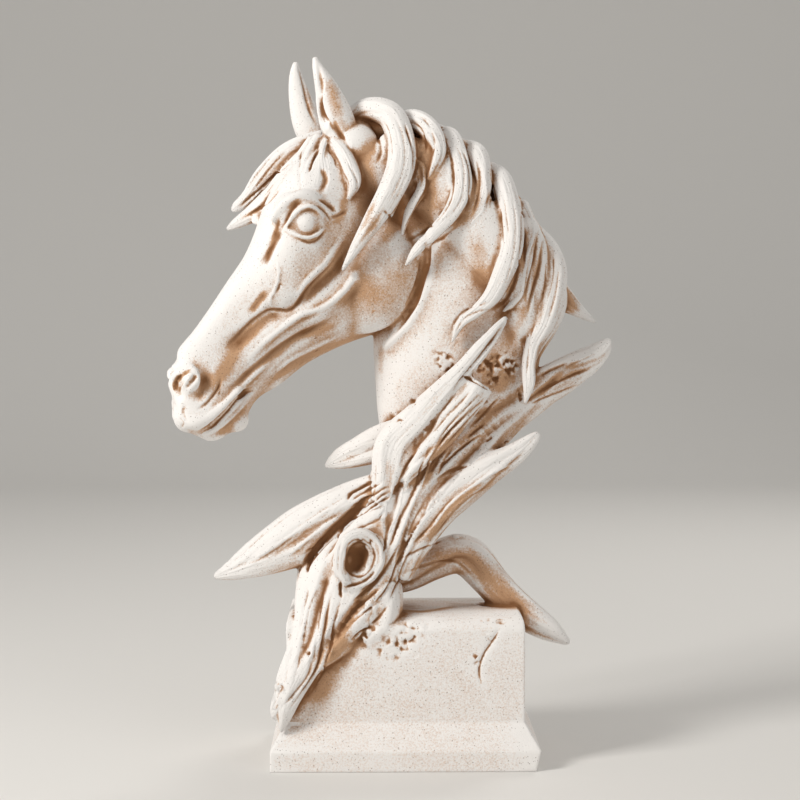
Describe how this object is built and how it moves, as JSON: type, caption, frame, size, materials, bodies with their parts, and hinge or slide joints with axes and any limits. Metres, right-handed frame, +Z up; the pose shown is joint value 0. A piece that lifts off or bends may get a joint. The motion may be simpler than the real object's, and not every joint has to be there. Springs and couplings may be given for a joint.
{
  "type": "driftwood horse head sculpture",
  "caption": "Horse's head with a windblown mane growing out of twisted driftwood, whose root grips the front of a plain rectangular plinth, cast as one piece.",
  "frame": {"origin": "centre of the plinth's flat underside", "axes": "+X to the right as the sculpture is looked at, with the horse facing -X, +Y away from the viewer, +Z up"},
  "size_m": [0.2678, 0.1073, 0.4203],
  "materials": {
    "sand_finish_resin": "matt sand-textured cast resin, cream with a tan wash in the hollows"
  },
  "bodies": {
    "root": {"horse_head_sculpture": "sand_finish_resin"}
  },
  "joints": []
}
